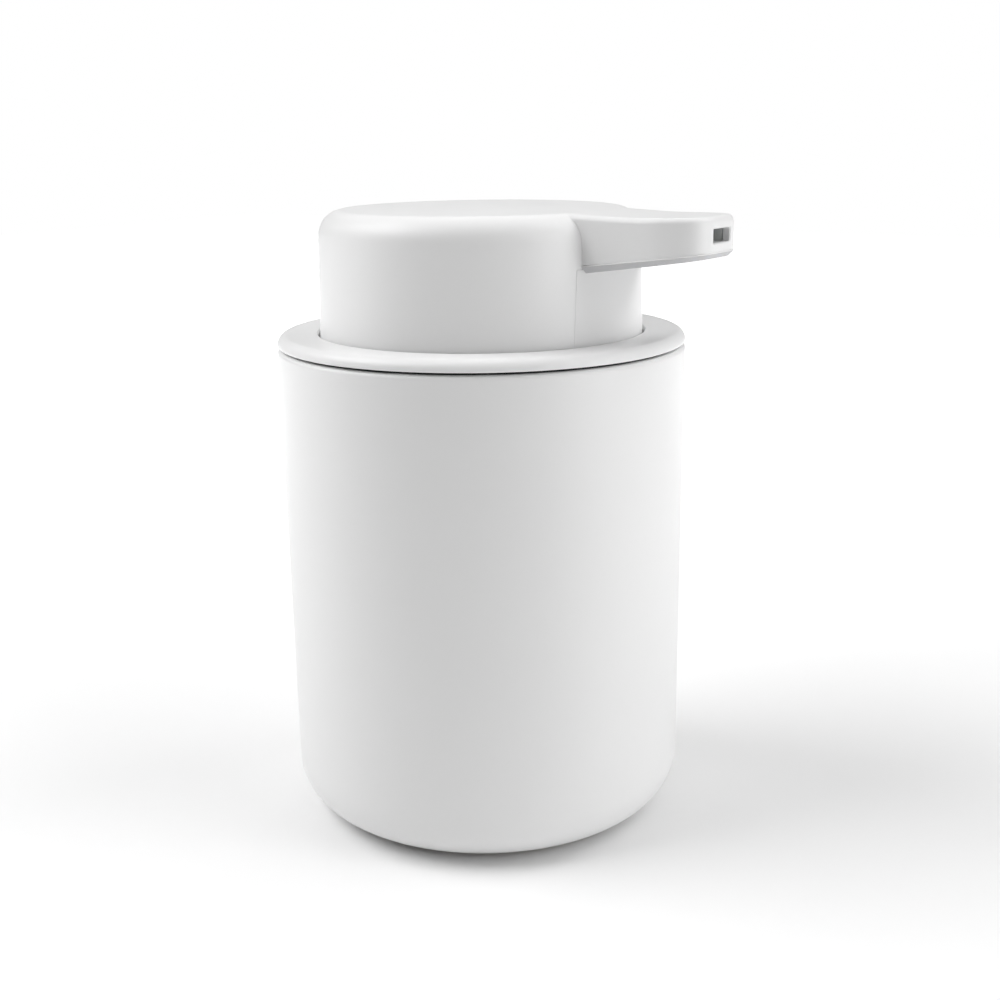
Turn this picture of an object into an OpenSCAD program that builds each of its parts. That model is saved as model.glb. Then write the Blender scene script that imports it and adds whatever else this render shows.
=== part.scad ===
// Press-top soap dispenser: a ceramic jar, a ring collar with a sunken well, a wide press cap
// with a short flat spout, and the lotion pump that hangs inside the jar.
// Millimetres, +Z up, spout along +X, origin at the centre of the face the jar stands on.

/* [Jar] */
// Outer diameter of the jar and of the collar
jar_d = 83; // [80:0.5:90]
// Height of the jar rim above the table
jar_h = 98.6; // [97:0.1:110]
// How far the rim radius stands outside the foot radius
jar_taper = 0.6; // [0:0.1:1.5]
// Radius of the rounded foot
foot_r = 10.2; // [8:0.1:12]
// Wall thickness of the ceramic at the rim
jar_wall = 4.6; // [4.2:0.1:4.8]
// How far the anti-slip pad stands below the foot
pad_proud = 0.5; // [0.3:0.1:1]

/* [Collar] */
// Thickness of the ring flange
collar_t = 2.4; // [2.1:0.1:3]
// Rounding of the flange's outer edge
collar_edge_r = 2; // [1:0.1:2]
// Gap between the flange and the jar rim, held open by the gasket
seam_gap = 0.4; // [0.3:0.1:0.8]
// Diameter of the well that the cap sinks into
well_d = 67.3; // [67:0.1:68]
// Thickness of the well wall
well_wall = 1.5; // [1.2:0.1:1.6]

/* [Press cap] */
// Diameter of the cap where it meets the collar
cap_d = 65.6; // [65:0.1:66]
// Height of the cap's crown above the collar
cap_rise = 24.8; // [24:0.1:27]
// Rise of the crown above the cap's rounded edge
cap_crown = 0.46; // [0.3:0.02:0.8]
// Rounding of the cap's top edge
cap_edge_r = 4.9; // [4:0.1:6]
// Draft of the cap's side, in degrees
cap_draft = 1.3; // [0.5:0.1:1.6]
// Wall thickness of the cap
cap_wall = 1.8; // [1.6:0.1:2]

/* [Spout] */
// Distance from the cap's axis to the front of the spout
spout_reach = 53.5; // [52:0.1:56]
// Half-width of the spout where it leaves the cap
spout_root_w = 10.9; // [10.5:0.1:11.2]
// Half-width of the spout where its sides start to draw in
spout_mid_w = 10.3; // [9.9:0.1:10.4]
// Rounding of the spout's front corners
spout_tip_r = 6; // [5:0.1:6.2]
// Slope of the spout's underside, in degrees
spout_slope = 7.8; // [6:0.1:8]
// Width of the nozzle opening
nozzle_w = 6.8; // [5:0.1:7]
// Height of the nozzle opening
nozzle_h = 2.6; // [2:0.1:2.6]

/* [Pump] */
// Travel of the cap from rest to fully pressed
stroke = 12; // [8:0.5:12]
// Bore of the pump cylinder
bore_d = 12; // [11.8:0.1:12.2]
// Outer diameter of the stem
stem_d = 6.8; // [6.6:0.1:7]
// Wire diameter of the return spring
wire_d = 0.7; // [0.5:0.1:0.7]
// Turns of the return spring
spring_turns = 7; // [5:0.5:7]

/* [Hidden] */
$fn = 96;

slip = 0.05;            // clearance of a running fit
seat = 0.02;            // clearance of pieces pushed together
eps = 0.01;             // overshoot of a cut

// Jar
jar_r = jar_d / 2;
mouth_r = jar_r - jar_wall;
rim_r = 0.7;
rim_chamfer = 0.4;
jar_lean = atan(jar_taper / jar_h);
foot_cz = pad_proud + foot_r;
foot_tz = foot_cz - foot_r * sin(jar_lean);
foot_tx = jar_r - (jar_h - foot_tz) * tan(jar_lean);
foot_cx = foot_tx - foot_r * cos(jar_lean);
jar_floor_z = pad_proud + 4.6;
jar_floor_r = 7;
pad_r = 27.2;
pad_t = 1.5;

// Collar
collar_z0 = jar_h + seam_gap;
collar_z1 = collar_z0 + collar_t;
well_r = well_d / 2;
well_ro = well_r + well_wall;
well_edge_r = 0.35;
floor_t = 2;
well_floor_z = collar_z1 - 17.4;
well_under_z = well_floor_z - floor_t;
well_corner_r = 3;
rib_n = 6;
rib_t = 1.2;
rib_h = 3;

// Press cap
cap_r = cap_d / 2;
cap_top_z = collar_z1 + cap_rise;
cap_foot_z = well_floor_z + stroke + 0.5;
cap_cz = cap_top_z - cap_crown - cap_edge_r;
cap_tz = cap_cz + cap_edge_r * sin(cap_draft);
cap_tx = cap_r - (cap_tz - collar_z1) * tan(cap_draft);
cap_cx = cap_tx - cap_edge_r * cos(cap_draft);
cap_foot_rr = cap_r + (collar_z1 - cap_foot_z) * tan(cap_draft);
crown_dz = cap_top_z - cap_cz;
crown_r = (pow(cap_cx, 2) + pow(crown_dz, 2) - pow(cap_edge_r, 2)) / (2 * cap_crown);
crown_cz = cap_top_z - crown_r;
crown_tx = cap_cx * crown_r / (crown_r - cap_edge_r);
crown_tz = crown_cz + (cap_cz - crown_cz) * crown_r / (crown_r - cap_edge_r);
cap_ceiling_z = cap_top_z - 1.9;
cap_inner_r = 3;

// Spout
spout_top_z = cap_top_z - 0.85;
spout_edge_r = 1.2;
spout_wall = 1.5;
spout_root_x = 24;
spout_mid_x = 45.3;
spout_tip_x = spout_reach - spout_tip_r;
spout_tip_y = 3.4;
spout_out_w = spout_root_w
    + (cap_r - spout_root_x) * (spout_root_w - spout_mid_w) / (spout_mid_x - cap_r);
cover_z = spout_top_z - 9.15;    // joint between spout and insert, at the skirt
cover_t = 1.2;
cover_chamfer = 0.9;
cover_lip = 0.25;
window_z = cover_z - 0.6;
window_top_w = 12.1;
window_flare = 0.064;
window_gap = 0.08;
nozzle_z = spout_top_z - 3.5;
nozzle_wall = 0.6;
nozzle_x0 = 3.4;
nozzle_x1 = spout_reach - spout_wall - 0.15;

// Pump
bore_r = bore_d / 2;
stem_r = stem_d / 2;
stem_bore_r = 2;
cyl_r = bore_r + 1.3;
cyl_top_z = well_floor_z + 8;
flange_r = 10.5;
gasket_t = 0.8;
flange_t = 1.8;
snout_r = bore_r + 2.2;
nut_flange_r = 12.5;
nut_r = 11;
nut_h = 5;
guide_t = 1.5;
guide_drop = 7;
ledge_z = well_floor_z - 36;
chamber_r = 3;
seat_z = ledge_z - 6;
seat_hole_r = 1.5;
tail_z = ledge_z - 16;
tail_r = 4.6;
tube_stop_z = ledge_z - 7.5;
tube_r = 3;
tube_bore_r = 2.1;
tube_end_z = jar_floor_z + 1.6;
inlet_ball_r = 2.4;
vent_r = 0.6;

// Moving parts of the pump, at rest
cage_t = 1.2;
spring_z0 = ledge_z + cage_t;
spring_z1 = spring_z0 + 18.4;
spring_r = 4.7;
rod_flange_t = 1.2;
rod_flange_r = 5;
rod_neck_r = 2.9;
rod_bore_r = 1.2;
seal_z0 = spring_z1 + rod_flange_t;
seal_h = 4.5;
stem_z0 = seal_z0 + seal_h;
stem_z1 = cap_top_z - 7.7;
rod_plug_h = 6;
outlet_seat_z = stem_z1 - 5.5;
outlet_hole_r = 1.3;
outlet_chamber_r = 2.5;
outlet_ball_r = 1.9;
core_r = 6;
core_z0 = cyl_top_z + guide_t + stroke + 1.5;
core_rib_r = 27;
core_rib_h = 4.9;

// Height of a ball's centre above the narrow end of the 45 degree seat it rests in
function ball_rise(ball_r, hole_r) = ball_r * sqrt(2) - hole_r + slip;

// A plain ring between two radii and two heights
module ring(r_in, r_out, z0, z1) {
    rotate_extrude() translate([r_in, z0]) square([r_out - r_in, z1 - z0]);
}

// A tapered seat: the cone that widens upwards at 45 degrees from hole_r to wide_r
module seat_cone(hole_r, wide_r, z) {
    translate([0, 0, z]) cylinder(h = wide_r - hole_r, r1 = hole_r, r2 = wide_r);
}

module jar_outline() {
    polygon([[0, pad_proud], [foot_cx, pad_proud], [foot_cx, foot_cz], [foot_tx, foot_tz],
             [jar_r, jar_h - rim_r], [jar_r - rim_r, jar_h], [0, jar_h]]);
    translate([foot_cx, foot_cz]) circle(r = foot_r);
    translate([jar_r - rim_r, jar_h - rim_r]) circle(r = rim_r);
}

module jar_cavity() {
    polygon([[0, jar_floor_z], [mouth_r - jar_floor_r, jar_floor_z],
             [mouth_r, jar_floor_z + jar_floor_r], [mouth_r, jar_h - rim_chamfer],
             [mouth_r + rim_chamfer + eps, jar_h + eps], [0, jar_h + eps]]);
    translate([mouth_r - jar_floor_r, jar_floor_z + jar_floor_r]) circle(r = jar_floor_r);
}

module jar() {
    color("white") rotate_extrude() difference() {
        jar_outline();
        jar_cavity();
        square([pad_r + 0.3, pad_t]);
    }
}

module base_pad() {
    color("gainsboro") rotate_extrude()
        polygon([[0, 0], [pad_r - 0.3, 0], [pad_r, 0.3], [pad_r, pad_t], [0, pad_t]]);
}

module collar_flange() {
    polygon([[well_r, collar_z0], [jar_r - 0.15, collar_z0], [jar_r, collar_z0 + 0.15],
             [jar_r, collar_z1 - collar_edge_r], [jar_r - collar_edge_r, collar_z1],
             [well_r + well_edge_r, collar_z1], [well_r, collar_z1 - well_edge_r]]);
    translate([well_r + well_edge_r, collar_z1 - well_edge_r]) circle(r = well_edge_r);
    intersection() {
        translate([jar_r - collar_edge_r, collar_z1 - collar_edge_r]) circle(r = collar_edge_r);
        translate([well_r, collar_z0 + 0.15]) square([jar_r, collar_t]);
    }
}

module collar_well() {
    difference() {
        union() {
            polygon([[0, well_under_z], [well_ro - well_corner_r, well_under_z],
                     [well_ro, well_under_z + well_corner_r], [well_ro, collar_z0],
                     [0, collar_z0]]);
            translate([well_ro - well_corner_r, well_under_z + well_corner_r])
                circle(r = well_corner_r);
        }
        translate([0, well_floor_z]) square([well_r, collar_t + 30]);
        translate([0, well_under_z - eps]) square([cyl_r + 0.2, floor_t + 1]);
    }
}

module collar() {
    color("white") {
        rotate_extrude() {
            collar_flange();
            collar_well();
        }
        for (i = [0 : rib_n - 1])
            rotate(360 / rib_n * (i + 0.5))
                translate([nut_flange_r + 1.5, -rib_t / 2, well_under_z - rib_h])
                    cube([well_r - nut_flange_r - 4, rib_t, rib_h + floor_t / 2]);
    }
}

module collar_gasket() {
    sleeve_r = well_ro + seat;
    lip_r = mouth_r - slip;
    color("silver") rotate_extrude()
        polygon([[sleeve_r, collar_z0 - 9], [sleeve_r + 0.8, collar_z0 - 9],
                 [lip_r, collar_z0 - 6.6], [lip_r, collar_z0 - 6.2],
                 [sleeve_r + 0.8, collar_z0 - 6.2], [sleeve_r + 0.8, collar_z0 - 5],
                 [lip_r, collar_z0 - 2.6], [lip_r, collar_z0 - 2.2],
                 [sleeve_r + 0.8, collar_z0 - 2.2], [sleeve_r + 0.8, jar_h],
                 [jar_r - 1.3, jar_h], [jar_r - 1.3, collar_z0], [sleeve_r, collar_z0]]);
}

module cap_outline() {
    polygon([[0, cap_foot_z], [cap_foot_rr, cap_foot_z], [cap_tx, cap_tz], [cap_cx, cap_cz],
             [crown_tx, crown_tz], [0, crown_tz]]);
    translate([cap_cx, cap_cz]) circle(r = cap_edge_r);
    intersection() {
        translate([0, crown_cz]) circle(r = crown_r, $fn = 2880);
        translate([0, crown_tz - eps]) square([crown_tx, 2]);
    }
}

module cap_hollow() {
    top_r = cap_tx - cap_wall;
    polygon([[0, cap_foot_z - eps], [cap_foot_rr - cap_wall, cap_foot_z - eps],
             [top_r, cap_ceiling_z - cap_inner_r], [top_r - cap_inner_r, cap_ceiling_z],
             [0, cap_ceiling_z]]);
    translate([top_r - cap_inner_r, cap_ceiling_z - cap_inner_r]) circle(r = cap_inner_r);
}

// The opening in the cap's skirt below the spout, narrower at the top; gap widens it
module skirt_window(gap) {
    foot_w = window_top_w + (window_z - cap_foot_z) * window_flare;
    translate([spout_root_x, 0, 0]) rotate([90, 0, 90]) linear_extrude(cap_r - spout_root_x + 1)
        polygon([[-foot_w - gap, cap_foot_z - 2 * eps], [foot_w + gap, cap_foot_z - 2 * eps],
                 [window_top_w + gap, window_z + gap], [-window_top_w - gap, window_z + gap]]);
}

// The step above that opening, which the root of the spout's underside passes through
module skirt_notch(gap) {
    translate([spout_root_x, -spout_root_w - gap, window_z - 1])
        cube([cap_r - spout_root_x, 2 * (spout_root_w + gap), cover_z + gap + 1 - window_z]);
}

// An upright post with a rounded top edge, standing at x, y
module post(x, y, r, z0, z1, edge) {
    translate([x, y, 0]) rotate_extrude($fn = 32) {
        translate([0, z0]) square([r, z1 - edge - z0]);
        translate([0, z0]) square([r - edge, z1 - z0]);
        translate([r - edge, z1 - edge]) circle(r = edge);
    }
}

// Everything on the lower side of the sloping joint under the spout, moved down by drop
module below_joint(drop) {
    translate([cap_r, 0, cover_z - drop]) rotate([0, -spout_slope, 0])
        translate([-20, -30, -60]) cube([80, 60, 60]);
}

module spout_shell() {
    r = 2 * spout_edge_r;
    difference() {
        hull() for (s = [-1, 1]) {
            post(spout_root_x, s * (spout_out_w - r), r, cover_z - 5, spout_top_z, spout_edge_r);
            post(spout_mid_x, s * (spout_mid_w - r), r, cover_z - 5, spout_top_z, spout_edge_r);
            post(spout_tip_x, s * spout_tip_y, spout_tip_r, cover_z - 5, spout_top_z,
                 spout_edge_r);
        }
        below_joint(0);
    }
}

module spout_channel() {
    root_w = spout_root_w - spout_wall;
    mid_w = spout_mid_w - spout_wall;
    tip_r = spout_tip_r - spout_wall;
    tip_w = spout_tip_y + tip_r;
    x0 = spout_root_x - 4;
    translate([0, 0, cap_foot_z - eps]) linear_extrude(cap_ceiling_z - cap_foot_z + eps) {
        polygon([[x0, -root_w], [cap_r, -root_w], [spout_mid_x, -mid_w], [spout_tip_x, -tip_w],
                 [spout_tip_x, tip_w], [spout_mid_x, mid_w], [cap_r, root_w], [x0, root_w]]);
        translate([spout_tip_x - 1, -spout_tip_y]) square([tip_r + 1, 2 * spout_tip_y]);
        for (s = [-1, 1]) translate([spout_tip_x, s * spout_tip_y]) circle(r = tip_r);
    }
}

module press_cap() {
    color("white") difference() {
        union() {
            rotate_extrude() cap_outline();
            spout_shell();
        }
        rotate_extrude() cap_hollow();
        spout_channel();
        skirt_window(window_gap);
        skirt_notch(window_gap);
        translate([spout_reach - 5, -nozzle_w / 2, nozzle_z - nozzle_h / 2])
            cube([10, nozzle_w, nozzle_h]);
    }
}

// Underside plate of the spout: the spout's outline, chamfered round its lower edge
module spout_cover() {
    module corner(x, y, r) {
        translate([x, y, -cover_lip]) cylinder(h = cover_lip, r = r, $fn = 32);
        translate([x, y, -cover_t]) cylinder(h = cover_lip, r = r - cover_chamfer, $fn = 32);
    }
    r = cover_chamfer + 0.4;
    translate([cap_r, 0, cover_z - seat]) rotate([0, -spout_slope, 0]) hull()
        for (s = [-1, 1]) {
            corner(spout_root_x - cap_r, s * (spout_out_w - r), r);
            corner(spout_mid_x - cap_r, s * (spout_mid_w - r), r);
            corner(spout_tip_x - cap_r, s * spout_tip_y, spout_tip_r);
        }
}

module spout_insert() {
    color("whitesmoke") {
        difference() {
            spout_cover();
            cylinder(h = 200, r = cap_r - cap_wall / 2);
        }
        intersection() {
            rotate_extrude() difference() {
                cap_outline();
                cap_hollow();
            }
            skirt_window(0);
        }
    }
}

module nozzle_tube() {
    w = nozzle_w + 2 * nozzle_wall;
    h = nozzle_h + 2 * nozzle_wall;
    color("white") translate([nozzle_x0, 0, nozzle_z]) difference() {
        translate([0, -w / 2, -h / 2]) cube([nozzle_x1 - nozzle_x0, w, h]);
        translate([-eps, -nozzle_w / 2, -nozzle_h / 2])
            cube([spout_reach, nozzle_w, nozzle_h]);
    }
}

module actuator_core() {
    pocket_w = nozzle_w + 2 * (nozzle_wall + seat);
    pocket_h = nozzle_h + 2 * (nozzle_wall + seat);
    top_z = cap_ceiling_z - seat;
    color("white") {
        difference() {
            union() {
                ring(0, core_r, core_z0, top_z);
                for (a = [45, 135, 225, 315]) rotate(a)
                    translate([0, -0.7, top_z - core_rib_h]) cube([core_rib_r, 1.4, core_rib_h]);
            }
            ring(0, stem_r + seat, core_z0 - eps, stem_z1 + seat);
            ring(0, outlet_chamber_r, stem_z1, nozzle_z + nozzle_h / 2);
            translate([0, -nozzle_w / 2 + 0.6, nozzle_z - nozzle_h / 2])
                cube([nozzle_x0 + 1, nozzle_w - 1.2, nozzle_h]);
            translate([nozzle_x0 - seat, -pocket_w / 2, nozzle_z - pocket_h / 2])
                cube([core_r, pocket_w, pocket_h]);
        }
        ring(0, 0.9, stem_z1 - 0.9, top_z - 0.3);
    }
}

module stem() {
    color("white") difference() {
        ring(0, stem_r, stem_z0, stem_z1);
        ring(0, stem_bore_r, stem_z0 - eps, outlet_seat_z - 1);
        ring(0, outlet_hole_r, outlet_seat_z - 2, outlet_seat_z + eps);
        seat_cone(outlet_hole_r, outlet_chamber_r, outlet_seat_z);
        ring(0, outlet_chamber_r, outlet_seat_z + outlet_chamber_r - outlet_hole_r - eps,
             stem_z1 + eps);
    }
}

module stem_guide() {
    color("whitesmoke") rotate_extrude()
        polygon([[stem_r + slip, cyl_top_z - guide_drop], [bore_r - 1, cyl_top_z - guide_drop],
                 [bore_r - seat, cyl_top_z - guide_drop + 1], [bore_r - seat, cyl_top_z],
                 [snout_r, cyl_top_z], [snout_r, cyl_top_z + guide_t - 0.4],
                 [snout_r - 0.4, cyl_top_z + guide_t], [stem_r + 0.7, cyl_top_z + guide_t],
                 [stem_r + slip, cyl_top_z + guide_t - 0.6]]);
}

module pump_cylinder() {
    flange_z = well_floor_z + gasket_t;
    color("whitesmoke") difference() {
        rotate_extrude() polygon([
            [0, tail_z], [tail_r - 0.5, tail_z], [tail_r, tail_z + 0.5], [tail_r, ledge_z - 5],
            [cyl_r, ledge_z - 1], [cyl_r, flange_z], [flange_r, flange_z],
            [flange_r, flange_z + flange_t], [snout_r, flange_z + flange_t],
            [snout_r, cyl_top_z], [0, cyl_top_z]]);
        ring(0, bore_r, ledge_z, cyl_top_z + eps);
        ring(0, chamber_r, seat_z + chamber_r - seat_hole_r, ledge_z + eps);
        seat_cone(seat_hole_r, chamber_r, seat_z);
        ring(0, seat_hole_r, tube_stop_z - eps, seat_z + eps);
        ring(0, tube_r, tail_z - eps, tube_stop_z);
        translate([0, 0, seal_z0 + seal_h / 2]) rotate([0, 90, 0])
            cylinder(h = cyl_r + 1, r = vent_r);
    }
}

module cylinder_gasket() {
    color("dimgray") ring(cyl_r + seat, flange_r + 0.5, well_floor_z, well_floor_z + gasket_t);
}

module lock_nut() {
    color("whitesmoke") difference() {
        union() {
            ring(0, nut_flange_r, well_under_z - 1.4, well_under_z);
            translate([0, 0, well_under_z - nut_h]) cylinder(h = nut_h - 1, r = nut_r, $fn = 6);
        }
        ring(0, cyl_r + slip, well_under_z - nut_h - eps, well_under_z + eps);
    }
}

module piston_seal() {
    z0 = seal_z0 + slip;
    z1 = stem_z0 - slip;
    lip_r = bore_r - slip;
    color("gainsboro") rotate_extrude()
        polygon([[rod_neck_r + slip, z0], [rod_flange_r - 0.4, z0], [lip_r - 0.5, z0 - 0.8],
                 [lip_r, z0 - 0.8], [lip_r, z0], [lip_r - 0.9, z0 + 1.4],
                 [lip_r - 0.9, z1 - 1.4], [lip_r, z1], [lip_r, z1 + 0.8],
                 [lip_r - 0.5, z1 + 0.8], [stem_r + 0.5, z1], [rod_neck_r + slip, z1]]);
}

module piston_rod() {
    color("whitesmoke") rotate_extrude()
        polygon([[rod_bore_r, spring_z1], [rod_flange_r - 0.3, spring_z1],
                 [rod_flange_r - 0.3, seal_z0 - 0.4], [rod_flange_r - 0.7, seal_z0],
                 [rod_neck_r, seal_z0], [rod_neck_r, stem_z0 - seat],
                 [stem_bore_r - seat, stem_z0 - seat],
                 [stem_bore_r - seat, stem_z0 + rod_plug_h - 0.4],
                 [stem_bore_r - 0.3, stem_z0 + rod_plug_h], [rod_bore_r, stem_z0 + rod_plug_h]]);
}

// Centre line of the spring: t runs from 0 to 1; the first and last turns lie closed
function spring_lift(t, closed) =
    t < closed ? wire_d * t * spring_turns
    : t > 1 - closed ? spring_z1 - spring_z0 - wire_d - wire_d * (1 - t) * spring_turns
    : wire_d + (t - closed) / (1 - 2 * closed) * (spring_z1 - spring_z0 - 3 * wire_d);

// One ring of points round the wire, standing across the helix at t
function wire_ring(t, sides) =
    let (a = 360 * spring_turns * t, z = spring_z0 + wire_d / 2 + spring_lift(t, 1 / spring_turns))
    [for (k = [0 : sides - 1]) let (b = 360 * k / sides, r = spring_r + wire_d / 2 * cos(b))
        [r * cos(a), r * sin(a), z + wire_d / 2 * sin(b)]];

module return_spring() {
    sides = 6;
    steps = 16 * spring_turns;
    points = [for (i = [0 : steps]) each wire_ring(i / steps, sides)];
    walls = [for (i = [0 : steps - 1], k = [0 : sides - 1]) let (next = (k + 1) % sides)
        [i * sides + k, i * sides + next, (i + 1) * sides + next, (i + 1) * sides + k]];
    first = [for (k = [sides - 1 : -1 : 0]) k];
    last = [for (k = [0 : sides - 1]) steps * sides + k];
    color("lightgray") polyhedron(points, concat([first], walls, [last]));
}

module ball_cage() {
    color("white") difference() {
        union() {
            ring(0, bore_r - 0.1, ledge_z, ledge_z + cage_t);
            ring(3, 4.1, ledge_z, ledge_z + cage_t + 2.2);
        }
        for (a = [0 : 90 : 270]) rotate(a)
            translate([2, 0, ledge_z - eps]) cylinder(h = cage_t + 1, r = 0.9);
    }
}

module inlet_ball() {
    color("lightgray") translate([0, 0, seat_z + ball_rise(inlet_ball_r, seat_hole_r)])
        sphere(r = inlet_ball_r);
}

module outlet_ball() {
    color("lightgray") translate([0, 0, outlet_seat_z + ball_rise(outlet_ball_r, outlet_hole_r)])
        sphere(r = outlet_ball_r);
}

module dip_tube() {
    color("white") difference() {
        ring(tube_bore_r, tube_r - seat, tube_end_z, tube_stop_z - seat);
        translate([-tube_r, -10, tube_end_z]) rotate([0, -45, 0])
            translate([0, 0, -20]) cube([20, 20, 20]);
    }
}

jar();
base_pad();
collar();
collar_gasket();
press_cap();
spout_insert();
nozzle_tube();
actuator_core();
stem();
stem_guide();
pump_cylinder();
cylinder_gasket();
lock_nut();
piston_seal();
piston_rod();
return_spring();
ball_cage();
inlet_ball();
outlet_ball();
dip_tube();
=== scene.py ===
"""Looks for the soap pump dispenser: a satin ceramic jar under a moulded collar, cap and spout.

Lengths in this file are millimetres in the CAD frame; meshes are scaled to metres when they are
made. +Z is up and the spout points along +X.
"""

import math

import bmesh
import bpy
from mathutils import Matrix, Vector


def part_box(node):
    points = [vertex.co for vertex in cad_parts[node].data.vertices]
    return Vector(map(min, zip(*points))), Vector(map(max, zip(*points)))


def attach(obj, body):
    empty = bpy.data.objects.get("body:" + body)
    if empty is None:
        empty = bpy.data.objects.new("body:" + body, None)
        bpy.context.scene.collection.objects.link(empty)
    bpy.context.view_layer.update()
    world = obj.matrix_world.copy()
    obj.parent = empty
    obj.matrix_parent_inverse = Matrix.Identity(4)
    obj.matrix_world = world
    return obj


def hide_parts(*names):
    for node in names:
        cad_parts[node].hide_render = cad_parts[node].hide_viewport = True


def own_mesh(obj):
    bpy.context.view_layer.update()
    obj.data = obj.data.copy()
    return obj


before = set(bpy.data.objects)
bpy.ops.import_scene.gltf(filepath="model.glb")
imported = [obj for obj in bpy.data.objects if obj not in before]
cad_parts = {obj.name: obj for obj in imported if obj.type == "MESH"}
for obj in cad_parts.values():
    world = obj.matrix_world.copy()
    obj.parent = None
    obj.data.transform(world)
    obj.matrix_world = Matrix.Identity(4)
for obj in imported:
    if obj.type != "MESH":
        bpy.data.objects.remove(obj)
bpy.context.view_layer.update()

MM = 0.001


def box_mm(node):
    """Lowest and highest corner of a CAD node, in millimetres."""
    lo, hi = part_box(node)
    return lo / MM, hi / MM


# ---------------------------------------------------------------- sizes, from the frame

JAR_LO, JAR_HI = box_mm("jar")
PAD_LO, PAD_HI = box_mm("base_pad")
COLLAR_LO, COLLAR_HI = box_mm("collar")
GASKET_LO, GASKET_HI = box_mm("collar_gasket")
CAP_LO, CAP_HI = box_mm("press_cap")
SPRING_LO, SPRING_HI = box_mm("return_spring")
TUBE_LO, TUBE_HI = box_mm("nozzle_tube")

# jar: taper is how much smaller the radius is at the floor than at the rim
JAR_R = JAR_HI.x
JAR_TAPER = 0.6
JAR_WALL = 4.6
FOOT_R = 10.2
RIM_R = 0.9
MOUTH_R = 0.5
RECESS_GAP = 0.3
RECESS_R = 0.3
JAR_FLOOR_Z = JAR_LO.z + 4.6
JAR_FLOOR_R = 7.0
BARE_Z = JAR_LO.z + 0.35
GLAZED_Z = JAR_LO.z + 0.5
PAD_EDGE_R = 0.3

# collar: a flat ring round a well with a holed floor, stiffened by ribs below
RING_T = 2.25
RING_EDGE_R = 2.0
RING_LOWER_EDGE_R = 0.25
RING_Z1 = COLLAR_HI.z
RING_Z0 = RING_Z1 - RING_T
WELL_R = 33.3
WELL_WALL = 1.85
WELL_OUTER_R = WELL_R + WELL_WALL
WELL_LIP_R = 0.35
WELL_INNER_CORNER_R = 1.0
WELL_FLOOR_Z = RING_Z1 - 17.4
WELL_UNDER_Z = WELL_FLOOR_Z - 2.0
WELL_CORNER_R = 3.0
WELL_HOLE_R = 7.5
RIB_COUNT = 6
RIB_T = 1.2
RIB_X0 = 14.0
RIB_X1 = 31.15
RIB_SINK = 1.0
RIB_EDGE_R = 0.2

# gasket: a sleeve on the well with two lips that seal inside the jar's mouth
GASKET_SEAT = 0.02
GASKET_WALL = 0.8
GASKET_LIP_GAP = 0.05
GASKET_LIP_R = 0.2
GASKET_LIP_HEIGHTS = (2.4, 6.4)
GASKET_EDGE_R = 0.15
GASKET_CHAMFER = 0.1

# press cap: slightly crowned on top, drafted at the side
CAP_R = 32.8
CAP_TOP_Z = CAP_HI.z
CAP_FOOT_Z = CAP_LO.z
CAP_FOOT_R = 0.25
CAP_CROWN = 0.46
CAP_EDGE_R = 4.9
CAP_DRAFT = math.radians(1.3)
CAP_WALL = 1.8
CAP_CEILING_Z = CAP_TOP_Z - 1.9
CAP_INNER_R = 3.0

# spout, seen from above: half-widths at the root, where the sides draw in, and at the tip
SPOUT_REACH = CAP_HI.x
SPOUT_ROOT_X = 22.0
SPOUT_ROOT_W = 10.9
SPOUT_MID_X = 45.3
SPOUT_MID_W = 10.3
SPOUT_BEND = 1.6
SPOUT_TIP_R = 6.0
SPOUT_TIP_Y = 3.4
SPOUT_WALL = 1.5

# spout, seen from the side: it leaves the crown, dips and rises a little to the tip
SPOUT_EDGE_R = 1.2
SPOUT_SINK = 0.02
SPOUT_LEAD = 0.3
SPOUT_DIP_X = 42.0
SPOUT_DIP_Z = CAP_TOP_Z - 0.98
SPOUT_TIP_Z = CAP_TOP_Z - 0.85

# joint between the spout's shell and its underside, and the underside itself
JOINT_Z = CAP_TOP_Z - 9.55
JOINT_SLOPE = math.tan(math.radians(6.6))
JOINT_EDGE = 0.05
COVER_Z = CAP_TOP_Z - 11.05
COVER_SLOPE = math.tan(math.radians(7.6))
COVER_ROOT_X = SPOUT_ROOT_X + 6.0
COVER_CHAMFER = 0.9
COVER_LIP = 0.28
COVER_PROUD = 0.1
COVER_EDGE = 0.15
COVER_GAP = 0.01
COVER_CORE_R = CAP_R - CAP_WALL / 2

# part of the underside that gets painted shade: it leans down more than this and lies above this
SHADE_LEAN = -0.2
SHADE_Z = COVER_Z - 1.0

# window in the cap's skirt below the spout; it widens downwards
WINDOW_Z = CAP_TOP_Z - 10.6
WINDOW_W = 12.1
WINDOW_FLARE = 0.064
WINDOW_GAP = 0.05
WINDOW_ROOT_X = SPOUT_ROOT_X + 2.0

# notch that joins the window to the spout's hollow, and the hollow itself
NOTCH_GAP = 0.06
NOTCH_TOP_Z = JOINT_Z - 0.1
NOTCH_X = CAP_R + 0.05
HOLLOW_ROOT_X = SPOUT_ROOT_X - 2.0
HOLLOW_FLOOR_Z = CAP_FOOT_Z + 8.0

# slot in the tip
SLOT_W = 6.8
SLOT_H = 2.6
SLOT_Z = (TUBE_LO.z + TUBE_HI.z) / 2
SLOT_CORNER_R = 0.35
SLOT_FLARE = 0.22
SLOT_DEPTH = 5.0

# return spring: wire thickness and number of turns
SPRING_WIRE = 0.7
SPRING_TURNS = 7

# how far cutting tools reach past the faces they cut, and the tolerances of the mesh helpers
CUT_SPARE = 1.0
ON_AXIS = 1e-6
WELD = 0.002


# ---------------------------------------------------------------- mesh helpers

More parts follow.
